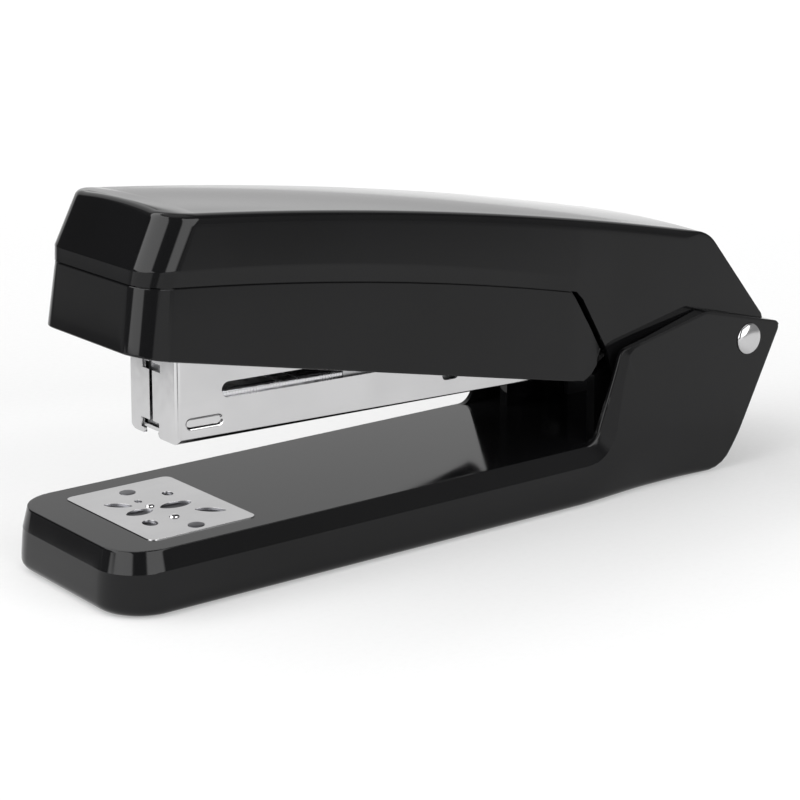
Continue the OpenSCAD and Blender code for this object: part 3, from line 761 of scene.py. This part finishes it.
def magazine_channel():
    """Folded sheet: a trough with two ears at the rear and two flanges that meet at the front."""
    side = ([(-MAG_LEN, MAG_BOTTOM), (-MAG_LEN, 9.7), (-98, 9.7), (-93, 6.3), (-20, 6.3), (-8, 4.3)]
            + arc(0, 0, 4.3, 90, -90, 16))
    obj = prism("magazine_channel", side, -MAG_HALF_W, MAG_HALF_W, MAGAZINE_FRAME)
    bm = bmesh.new()
    bm.from_mesh(obj.data)
    bmesh.ops.bevel(bm, geom=folds(bm), offset=0.85 * MM, segments=5, profile=0.5, affect="EDGES")
    bm.to_mesh(obj.data)
    bm.free()
    inner = MAG_HALF_W - MAG_T
    before, behind = -MAG_LEN - 1, -MAG_LEN + 1
    high, deep, past = 30, -12, 20
    # The trough, its open rear, and the mouth that the staples leave by
    blocks = [("trough", -MAG_LEN + MAG_T, past, -inner, inner, MAG_BOTTOM + MAG_T, high),
              ("rear", -11, high, -inner, inner, deep, high),
              ("mouth", -MAG_LEN + MAG_T, -MAG_LEN + 2.0, -inner, inner, deep, 2)]
    # The seam between the front flanges, with its two notches
    blocks += [("seam", before, behind, -0.05, 0.85, deep, high),
               ("notch_high", before, behind, -2.5, 2.8, 6.3, 7.6),
               ("notch_low", before, behind, -1.9, 3.5, -3.45, -1.85)]
    cuts = [box(*block, MAGAZINE_FRAME) for block in blocks]
    # The flanges' lower corners are rounded, and a gap for the staple is left between them
    gap = ([(-1.5, -2.5), (-1.5, MAG_BOTTOM + 0.8)] + arc(-2.4, MAG_BOTTOM + 0.85, 0.85, 0, -90, 5)
           + [(-2.4, MAG_BOTTOM - 2), (2.8, MAG_BOTTOM - 2), (2.8, -2.5)])
    cuts.append(bar("gap", gap, before, behind, MAGAZINE_FRAME))
    r = 2.2
    y, z = MAG_HALF_W - r, MAG_BOTTOM + r
    corner = [(MAG_HALF_W + 1, MAG_BOTTOM - 1), (y, MAG_BOTTOM - 1), (y, MAG_BOTTOM)]
    corner += arc(y, z, r, -90, 0, 6) + [(MAG_HALF_W + 1, z)]
    cuts.append(bar("corner", corner, before, -MAG_LEN + 0.85, MAGAZINE_FRAME))
    window = arc(-102.5, 3.35, 1.3, 90, 270, 8) + arc(-53, 3.35, 1.3, -90, 90, 8)
    tab = ([(-60.3, 0.6), (-60.3, -0.4)] + arc(-59.5, -0.6, 0.8, 180, 270, 4)
           + arc(-57.7, -0.6, 0.8, 270, 360, 4) + [(-56.9, 0.6)])
    cuts += [prism("side_cut", outline, -past, past, MAGAZINE_FRAME) for outline in (window, tab)]
    bore = PIN_R + 0.06
    pivot = [(0, -past), (bore, -past), (bore, past), (0, past)]
    cuts.append(lathe("pivot", pivot, (0, 0, 0), (0, 1, 0), MAGAZINE_FRAME))
    cuts += [sunk_oval(-106.9, -1.25, 7.6, 2.5, 0.42, side) for side in (-1, 1)]
    boolean(obj, cuts)
    soften(obj, 0.1, 30)
    shade(obj, 35)
    return finish_piece(obj, NICKEL, "nickel", "magazine", "magazine_channel")


def staples():
    """The glued strip, one bent wire after another."""
    rail_top, wire, leg, half_w, bend_r = 2.75, 0.5, 6.0, 6.45, 0.55
    front, length, pitch = -110.2, 30.0, 0.555
    line = [(-half_w, rail_top + wire - leg), (-half_w, rail_top - 0.35)]
    line += arc(-half_w + bend_r, rail_top - 0.05, bend_r, 180, 90, 4)
    line += [(-y, z) for y, z in reversed(line)]
    verts, faces = [], []
    inner_line = [(y + n.x * wire * 0.96, z + n.y * wire * 0.96)
                  for (y, z), n in zip(line, inward_normals(line, False))]
    m = len(line)
    for i in range(int(length / pitch)):
        x0 = front + pitch * i
        x1 = x0 + pitch * 0.93
        start = len(verts)
        for x in (x0, x1):
            verts += [(x, y, z) for y, z in line]
            verts += [(x, y, z) for y, z in inner_line]
        a, b, c, d = start, start + m, start + 2 * m, start + 3 * m
        for k in range(m - 1):
            faces += [(a + k, a + k + 1, c + k + 1, c + k), (b + k, d + k, d + k + 1, b + k + 1),
                      (a + k, b + k, b + k + 1, a + k + 1), (c + k, c + k + 1, d + k + 1, d + k)]
        for k in (0, m - 1):
            faces.append((a + k, c + k, d + k, b + k))
    obj = new_object("staple_strip", verts, faces, MAGAZINE_FRAME)
    tidy(obj, 1e-8)
    shade(obj, 35)
    return finish_piece(obj, STAPLE, "staple_wire", "magazine", "staple_strip")


def helix(centre, axis, r, length, turns):
    """Points of a coil spring along z or x, whose first turn lies close."""
    per_turn = 20
    path = []
    for i in range(turns * per_turn + 1):
        turn = i / per_turn
        path.append((2 * math.pi * turn, smooth_step(0, 1, turn) * 0.5 if turn < 1 else turn - 0.5))
    last = path[-1][1]
    points = []
    for a, rise in path:
        h = length * rise / last
        c, s = r * math.cos(a), r * math.sin(a)
        step = (c, s, h) if axis == "z" else (h, c, s)
        points.append(tuple(at + by for at, by in zip(centre, step)))
    return points


def springs():
    lo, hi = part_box("return_spring")
    x = ((lo.x + hi.x) / 2 - NOSE) / MM
    z0, z1 = lo.z / MM, hi.z / MM
    wire = 0.4
    path = helix((x, 0, z0 + wire), "z", 3.2, z1 - z0 - 2 * wire, 6)
    coil = tube("return_spring", path, wire, BASE_FRAME)
    shade(coil, 50, False)
    finish_piece(coil, SPRING, "spring_steel", "base", "return_spring")
    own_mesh(coil)

    front, rear, wire = -70.0, -41.1, 0.25
    path = helix((front + wire, 0, -0.5), "x", 1.9, rear - front - 2 * wire, 26)
    coil = tube("pusher_spring", path, wire, MAGAZINE_FRAME, sides=8)
    shade(coil, 50, False)
    finish_piece(coil, SPRING, "spring_steel", "magazine", "pusher_spring")
    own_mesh(coil)


# Head ------------------------

def cover_stations():
    """Side stations from the tail to the front: (top point, bottom point, edge rounding)."""
    def tail(a):
        return PIN_X + TAIL_R * math.cos(math.radians(a)), PIN_Z + TAIL_R * math.sin(math.radians(a))

    corner_low, corner_high = 38.5, 77.9
    slope_top = arc(*REAR_CORNER, corner_low, corner_low, 1)[0]

    def slope(x):
        t = (x - slope_top[0]) / (SLOPE_END[0] - slope_top[0])
        return x, lerp(slope_top[1], SLOPE_END[1], t)

    def low(x):
        corners = [(127.8, 16.8), (99.6, 21.0), (97.4, 26.6), (92.1, 35.8), (90.6, parting_z(90.6))]
        if x <= corners[-1][0]:
            return x, parting_z(x)
        for (xa, za), (xb, zb) in zip(corners, corners[1:]):
            if xb <= x <= xa:
                return x, lerp(zb, za, (x - xb) / (xa - xb))
        return tail(-math.degrees(math.acos((x - PIN_X) / TAIL_R)))

    def edge(x):
        return lerp(TOP_EDGE, 0.45, smooth_step(108, 121, x))

    stations = [(tail(0), tail(0), 0.0), (tail(15), tail(-15), 0.15), (SLOPE_END, low(SLOPE_END[0]), 0.4)]
    stations += [(slope(x), low(x), edge(x)) for x in (134.0, 131.6, 129.2, 127.8, 125.5)]
    stations += [(p, low(p[0]), edge(p[0])) for p in arc(*REAR_CORNER, corner_low, corner_high, 9)]
    xs = [116, 112, 107, 102, 99.6, 97.4, 94.8, 92.1, 91.4, 90.6, 89.5, 88]
    xs += [84 - 5 * i for i in range(13)] + [20.5]
    return stations + [((x, top_z(x)), low(x), TOP_EDGE) for x in xs]


def inward_tops(tops):
    """Unit vectors into the cover at each top point, straight down on the nearly flat part."""
    flat_end = 119.2
    inward = []
    for i, (x, _) in enumerate(tops):
        if x < flat_end:
            inward.append(Vector((0, 0, -1)))
            continue
        a, b = tops[max(i - 1, 0)], tops[min(i + 1, len(tops) - 1)]
        run = Vector((b[0] - a[0], 0, b[1] - a[1])).normalized()
        across = Vector((run.z, 0, -run.x))
        inward.append(across if across.z < 0 else -across)
    return inward


def cover_column(top, belt, low, into, down, edge):
    """One column from the inside of the lower lip up to the start of the flat top."""
    start = top + down * edge
    rows = [low + into * 0.35, low, low.lerp(belt, 0.12), low.lerp(belt, 0.93),
            belt, belt.lerp(start, 0.03), belt.lerp(start, 0.5), start.lerp(belt, 0.06)]
    rows += bend(start, top, top + into * edge, 6)
    return rows + [top + into * (edge + 0.35)]


def top_cover():
    stations = cover_stations()
    belt_row, start_row = 4, 7
    columns = []
    for (top, low, edge), down in zip(stations, inward_tops([top for top, _, _ in stations])):
        x = top[0]
        fade = 1 - smooth_step(80.0, 104.0, low[0])
        half_top = lerp(15.6, 15.8, fade)
        half_belt = lerp(15.75, 16.15, fade)
        half_low = lerp(half_belt, 15.55, 1 - smooth_step(84.0, 90.6, low[0]))
        edge_point = Vector((x, -half_top, top[1]))
        start_z = edge_point.z + down.z * edge
        z_belt = belt_z(x) if x < 90.6 else lerp(low[1], start_z, 0.55 if x > 99.6 else 0.35)
        belt_point = Vector((lerp(low[0], x, 0.5), -half_belt, min(z_belt, start_z - 0.02)))
        low_point = Vector((low[0], -half_low, low[1]))
        columns.append(cover_column(edge_point, belt_point, low_point, Vector((0, 1, 0)), down, edge))
    # Front, half width and corner radius of the top edge, the belt and the lower edge
    rings = ((12.0, 15.8, HEAD_CORNER_R), (7.84, 16.15, HEAD_CORNER_R), (7.5, 15.55, 5.3))
    for a, out in corner_turns():
        top, belt, low = [Vector((front + r, -(half_w - r), 0)) + out * r for front, half_w, r in rings]
        top.z, belt.z, low.z = top_z(top.x), belt_z(belt.x), parting_z(low.x)
        edge = lerp(FRONT_EDGE, TOP_EDGE, smooth_step(55, 90, math.degrees(a)))
        columns.append(cover_column(top, belt, low, -out, (belt - top).normalized(), edge))
    foot, head = columns[-1][belt_row].z, columns[-1][start_row].z

    def crown(z, share):
        return CROWN * (1 - (2 * share - 1) ** 2) * min(1.0, max(0.0, (z - foot) / (head - foot)))

    obj = shell("top_cover", all_levels(columns, HEAD_SPANS, crown), HEAD_SPANS, bulge=CROWN, tail=(0, 2))
    step = obj.modifiers.new("wall", "SOLIDIFY")
    step.thickness, step.offset, step.use_even_offset = 1.5 * MM, -1.0, True
    apply_modifiers(obj)
    shade(obj, 25)
    return finish_piece(obj, BLACK, "black_plastic", "handle", "top_cover")


def housing_column(low, high, into):
    """One column of the housing, rounded at its lower edge and at the parting line."""
    height = max((high - low).length, 0.01)
    # (distance from the edge, inset)
    lower_edge = ((0.0, 0.55), (0.05, 0.3), (0.16, 0.12), (0.3, 0.03), (0.5, 0.0))
    upper_edge = ((0.16, 0.0), (0.06, 0.02), (0.0, 0.07))
    rows = [(up / height, inset) for up, inset in lower_edge] + [(0.22, 0.0)]
    rows += [(1 - down / height, inset) for down, inset in upper_edge]
    lines = [low.lerp(high, min(1.0, max(0.0, share))) + into * inset for share, inset in rows]
    # A tongue stands up behind the cover's lip and closes the seam
    tongue = high + into * 0.4
    return lines + [tongue, tongue + Vector((0, 0, 0.5))]


def lower_housing():
    seam = 0.22
    half_low, half_high, r_low, r_high = 16.03, 15.5, 5.7, 5.25
    # (x, upper z, lower z)
    stations = [(96.1, 26.9, 26.5), (95.3, 28.4, 23.6), (94.2, 30.4, 22.3), (93.2, 32.0, 21.6),
                (92.3, 33.6, 21.2), (91.2, 35.4, skirt_z(91.2))]
    stations += [(x, parting_z(x) - seam, skirt_z(x)) for x in
                 (89.8, 88.6, 86, 80, 72, 64, 56, 48, 40, 32, 26, 20, 16, 14)]
    columns = [housing_column(Vector((x, -half_low, low)), Vector((x, -half_high, high)), Vector((0, 1, 0)))
               for x, high, low in stations]
    for _, out in corner_turns():
        low = Vector((5.7 + r_low, -(half_low - r_low), 0)) + out * r_low
        high = Vector((7.55 + r_high, -(half_high - r_high), 0)) + out * r_high
        low.z, high.z = skirt_z(low.x), parting_z(high.x) - seam
        columns.append(housing_column(low, high, -out))
    obj = shell("lower_housing", all_levels(columns, HEAD_SPANS), HEAD_SPANS, cap=False)
    step = obj.modifiers.new("wall", "SOLIDIFY")
    step.thickness, step.offset = 1.6 * MM, -1.0
    apply_modifiers(obj)
    shade(obj, 25)
    return finish_piece(obj, BLACK, "black_plastic", "handle", "lower_housing")


# CAD pieces that keep their shape ------------------------

def dress_cad_pieces():
    finishes = {
        "sole_pad": RUBBER, "base_stiffener": BLACK_STEEL, "base_screws": ZINC, "pivot_washers": ZINC,
        "staple_rail": STEEL, "rail_rivets": STEEL, "rear_stop": STEEL, "guide_rod": STEEL, "pusher": STEEL,
        "handle_frame": BLACK_STEEL, "driver_blade": STEEL, "driver_rivets": ZINC, "handle_spring": SPRING,
        "handle_spring_rivet": ZINC, "cover_screws": ZINC, "housing_screws": ZINC,
    }
    for name, surface in finishes.items():
        node = frame["nodes"][name]
        node.data.materials.clear()
        node.data.materials.append(surface.material)


# Stage ------------------------

# The floor's painted glow, and its white
FLOOR_GLOW = 0.3
FLOOR_WHITE = (0.53, 0.53, 0.53, 1)


class Light:
    """Brightness as a function of bearing and height, built from maths nodes."""

    def __init__(self, tree, x, y):
        self.tree, self.x, self.y = tree, x, y

    def maths(self, operation, *values):
        node = self.tree.nodes.new("ShaderNodeMath")
        node.operation = operation
        for socket, value in zip(node.inputs, values):
            if isinstance(value, (int, float)):
                socket.default_value = value
            else:
                self.tree.links.new(value, socket)
        return node.outputs["Value"]

    def rise(self, value, lo, hi):
        """0 below lo, 1 above hi, smooth between."""
        node = self.tree.nodes.new("ShaderNodeMapRange")
        node.interpolation_type = "SMOOTHSTEP"
        node.inputs["From Min"].default_value, node.inputs["From Max"].default_value = lo, hi
        self.tree.links.new(value, node.inputs["Value"])
        return node.outputs["Result"]

    def bearing(self, centre):
        """Degrees anticlockwise from the centre bearing, seen from above."""
        c, s = math.cos(math.radians(centre)), math.sin(math.radians(centre))
        ahead = self.maths("ADD", self.maths("MULTIPLY", self.x, c), self.maths("MULTIPLY", self.y, s))
        aside = self.maths("SUBTRACT", self.maths("MULTIPLY", self.y, c), self.maths("MULTIPLY", self.x, s))
        return self.maths("MULTIPLY", self.maths("ARCTAN2", aside, ahead), 180 / math.pi)

    def sector(self, start, end, edge, height=None, lean_start=0.0, lean_end=0.0):
        """1 between two bearings, whose sides may lean with height."""
        half = (end - start) / 2
        angle = self.bearing((start + end) / 2)
        left = right = angle
        if height is not None:
            left = self.maths("SUBTRACT", angle, self.maths("MULTIPLY", height, lean_start))
            right = self.maths("SUBTRACT", angle, self.maths("MULTIPLY", height, lean_end))
        right = self.maths("MULTIPLY", right, -1.0)
        return self.maths("MULTIPLY", self.rise(left, -half - edge, -half + edge),
                          self.rise(right, -half - edge, -half + edge))

    def between(self, value, lo, hi, edge):
        """1 between lo and hi, smooth over the edge at both."""
        down = self.maths("MULTIPLY", value, -1.0)
        return self.maths("MULTIPLY", self.rise(value, lo - edge, lo + edge),
                          self.rise(down, -hi - edge, -hi + edge))

    def mix(self, one, two, share):
        """One where the share is 0, two where it is 1."""
        return self.maths("ADD", self.maths("MULTIPLY", two, share),
                          self.maths("MULTIPLY", one, self.maths("SUBTRACT", 1.0, share)))

    def total(self, base, *parts):
        """The base plus each part's power, times every share given with it."""
        result = base
        for power, *shares in parts:
            for share in shares:
                power = self.maths("MULTIPLY", share, power)
            result = self.maths("ADD", power, result)
        return result


def stage():
    """A pale table that seems white to the camera, with a painted glow and patches of painted light and
    painted shade by bearing and reach. The gloss black shows its brighter and darker parts.
    """
    corners = [(-4, -4, 0), (4, -4, 0), (4, 4, 0), (-4, 4, 0)]
    floor = new_object("floor", corners, [(0, 1, 2, 3)], Matrix.Identity(4))
    painted_floor = Surface("floor_painted_light", (0.8, 0.8, 0.8), roughness=0.9)
    painted_floor.shader.inputs["Specular IOR Level"].default_value = 0.0
    moved = painted_floor.nodes.new("ShaderNodeMapping")
    moved.inputs["Location"].default_value = (0.055, 0.01, 0)
    painted_floor.links.new(painted_floor.coords, moved.inputs["Vector"])
    split = painted_floor.nodes.new("ShaderNodeSeparateXYZ")
    painted_floor.links.new(moved.outputs["Vector"], split.inputs["Vector"])
    x, y = split.outputs["X"], split.outputs["Y"]
    light = Light(painted_floor.material.node_tree, x, y)
    maths, sector, rise = light.maths, light.sector, light.rise
    reach = maths("SQRT", maths("ADD", maths("MULTIPLY", x, x), maths("MULTIPLY", y, y)))
    # Metres beyond the left edge of the camera's view
    aside = maths("ADD", maths("MULTIPLY", x, -0.893), maths("ADD", maths("MULTIPLY", y, 0.449), -0.0217))
    nose = sector(102, 142, 7)
    # Painted light and shade on the far floor, by bearing: behind, right, near side and left, then what the
    # front faces mirror
    far = light.total(0.16, (0.86, sector(8, 99, 4)), (0.3, sector(-78, 0, 8)), (1.35, sector(-119, -78, 3)),
                      (1.2, sector(146, 203, 3)), (0.2, nose, rise(aside, 0.5, 0.8)), (-0.03, nose))
    # Painted light and shade on the floor just round the stapler: brighter at left and near side, darker at
    # near left
    middle = light.total(0.95, (0.65, sector(146, 212, 4)), (0.55, sector(-122, -70, 4)),
                         (-0.75, sector(214, 236, 4)))
    value = light.mix(1.0, middle, rise(reach, 0.1, 0.13))
    mix_far = maths("MAXIMUM", rise(reach, 0.25, 0.6), maths("MULTIPLY", nose, rise(aside, 0.09, 0.14)))
    value = light.mix(value, far, mix_far)
    value = maths("MULTIPLY", value, painted_floor.ramp(painted_floor.noise(900, 3), 0.99, 1.01))
    # The painted light and shade darken the floor's white and scale its painted glow
    white = painted_floor.nodes.new("ShaderNodeMix")
    white.data_type = "RGBA"
    white.inputs["A"].default_value, white.inputs["B"].default_value = (0, 0, 0, 1), FLOOR_WHITE
    painted_floor.links.new(value, white.inputs["Factor"])
    painted_floor.links.new(white.outputs["Result"], painted_floor.shader.inputs["Base Color"])
    painted_floor.shader.inputs["Emission Color"].default_value = (1, 1, 1, 1)
    painted_floor.links.new(maths("MULTIPLY", value, FLOOR_GLOW), painted_floor.shader.inputs["Emission Strength"])
    painted_floor.on(floor)


def studio():
    """Soft studio surroundings, brighter in patches given by bearing and by height in degrees."""
    world = bpy.data.worlds.new("studio")
    bpy.context.scene.world = world
    world.use_nodes = True
    nodes, links = world.node_tree.nodes, world.node_tree.links
    background = nodes["Background"]
    background.inputs["Color"].default_value = (1, 1, 1, 1)
    split = nodes.new("ShaderNodeSeparateXYZ")
    links.new(nodes.new("ShaderNodeTexCoord").outputs["Generated"], split.inputs["Vector"])
    light = Light(world.node_tree, split.outputs["X"], split.outputs["Y"])
    height = light.maths("MULTIPLY", light.maths("ARCSINE", split.outputs["Z"]), 180 / math.pi)
    sector, between = light.sector, light.between
    total = light.total(
        0.16,
        # Backdrop, in two overlapping heights
        (0.6, sector(12, 99, 4), between(height, -5, 11, 4)),
        (0.6, sector(12, 99, 4), between(height, 7, 48, 5)),
        # Weak fill from the right, and a low glow on the near side
        (0.2, sector(-62, 5, 5), between(height, -5, 35, 5)),
        (1.2, sector(-116, -78, 3), between(height, -9, 0, 1.5)),
        # Leaning softbox at the left, and a low strip beside it
        (3.9, sector(187, 223, 3, height, -2.0, -0.53), between(height, 6, 58, 1.5)),
        (3.2, sector(160, 199, 3), between(height, 0.3, 6, 1)),
        # Leaning softbox on the near side
        (3.8, sector(-108, -70.5, 3, height, 0.0, 0.7), between(height, 2, 42, 2)),
        # Darker patch that the front faces mirror, and light from overhead
        (-0.1, sector(104, 134, 3), between(height, -8, 26, 3)),
        (0.9, light.rise(height, 50, 72)))
    links.new(total, background.inputs["Strength"])


def camera():
    """Long lens, a little above the stapler, between its near side and its nose."""
    azimuth, elevation, roll = math.radians(-36.656), math.radians(15.523), math.radians(-0.783)
    distance = 388.68
    target = Vector((NOSE + 66.48 * MM, 1.31 * MM, 18.893 * MM))
    back = Vector((math.sin(azimuth) * math.cos(elevation), -math.cos(azimuth) * math.cos(elevation),
                   math.sin(elevation)))
    data = bpy.data.cameras.new("camera")
    data.sensor_width = 36.0
    data.lens = 102.94
    data.shift_x, data.shift_y = -0.0019, 0.0009
    data.clip_start, data.clip_end = 0.01, 20
    obj = bpy.data.objects.new("camera", data)
    bpy.context.scene.collection.objects.link(obj)
    turn = (-back).to_track_quat("-Z", "Y").to_matrix() @ Matrix.Rotation(roll, 3, "Z")
    obj.matrix_world = Matrix.Translation(target + back * distance * MM) @ turn.to_4x4()
    bpy.context.scene.camera = obj


camera()
studio()
stage()
bpy.context.scene.view_settings.view_transform = "Standard"

base_shell()
anvil_plate()
anvil_rivets()
hinge_pins()
magazine_channel()
staples()
springs()
top_cover()
lower_housing()
dress_cad_pieces()
